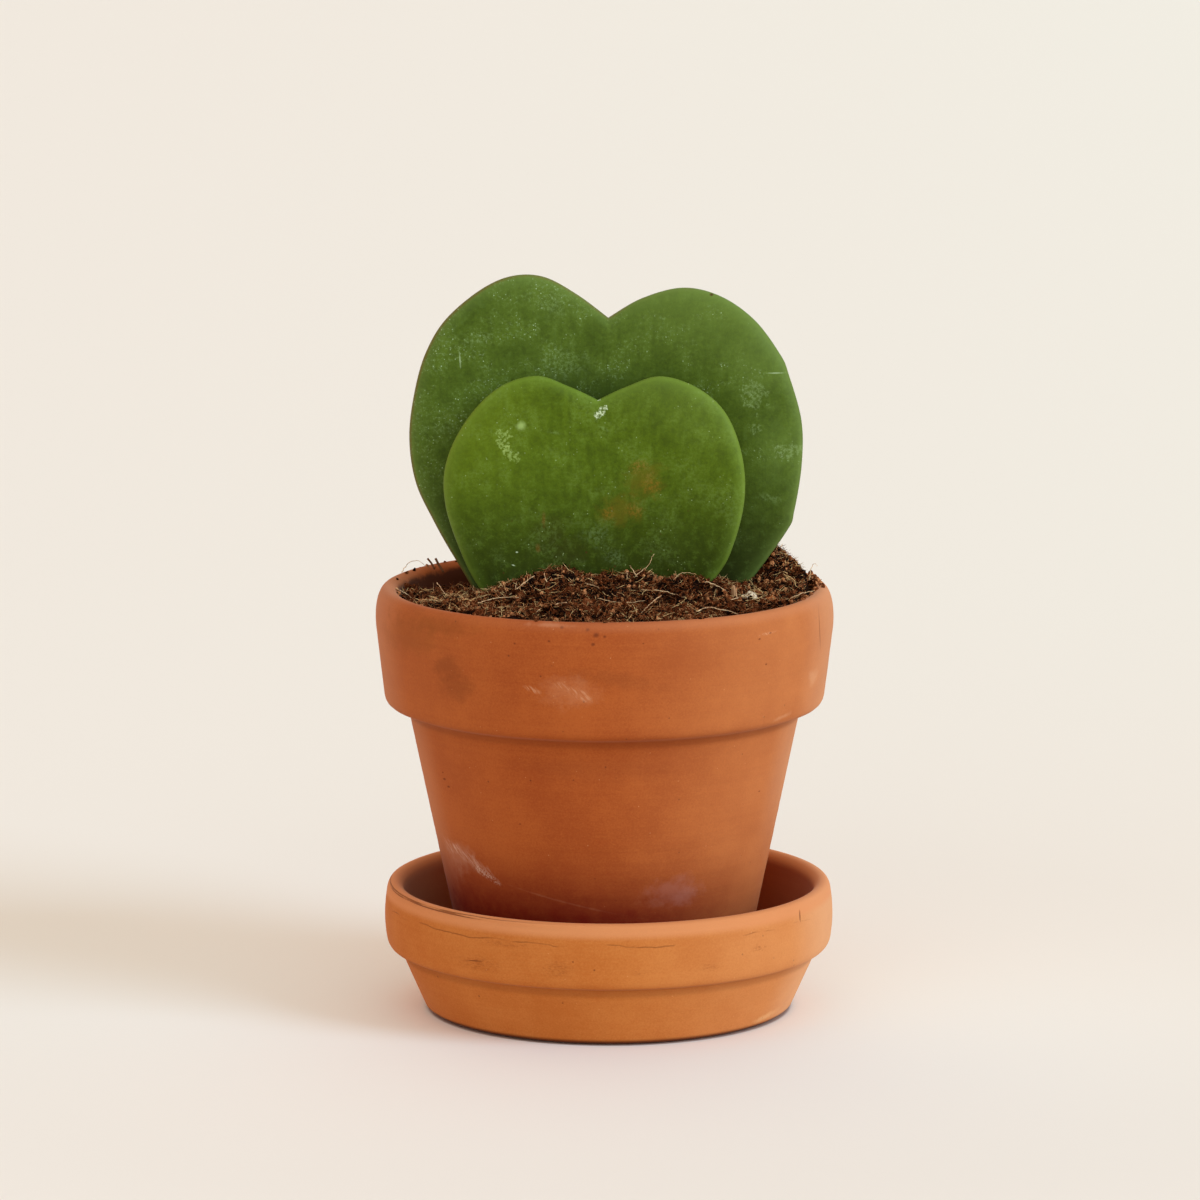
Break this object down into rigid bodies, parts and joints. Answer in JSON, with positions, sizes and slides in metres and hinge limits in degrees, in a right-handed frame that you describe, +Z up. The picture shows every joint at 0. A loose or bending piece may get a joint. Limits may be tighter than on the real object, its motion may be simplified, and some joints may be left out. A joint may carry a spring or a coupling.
{
  "type": "potted sweetheart hoya",
  "caption": "Two thick heart-shaped succulent leaves, one behind the other, rooted upright in a tapered clay pot of coir soil that stands in a clay saucer.",
  "frame": {"origin": "the pot's axis at the underside of the saucer", "axes": "+Z up along the pot's axis, -Y the side that both leaves face, +X to the right of someone who looks at that side"},
  "size_m": [0.1104, 0.1102, 0.1767],
  "materials": {
    "saucer_clay": "matt unglazed fired clay, yellowish orange, with a pinkish rim, hairline cracks and scuffs",
    "pot_clay": "matt unglazed fired clay, reddish orange, with dark specks and a whitish mineral bloom",
    "coir_soil": "matt dark brown crumbs and fibres of coir, slightly moist",
    "young_leaf": "waxy satin yellowish green, with small brown scabs and a paler rim",
    "old_leaf": "waxy satin mid green, with fine white specks and a paler rim",
    "perlite": "matt off-white crushed grain",
    "bark": "matt orange-brown bark",
    "straw": "matt tan straw with a broken end"
  },
  "bodies": {
    "root": {"saucer": "saucer_clay", "pot": "pot_clay", "potting_soil": "coir_soil", "leaf_front": "young_leaf", "leaf_rear": "old_leaf", "perlite_grain": "perlite", "bark_chip": "bark", "twig_stub": "straw"}
  },
  "joints": []
}
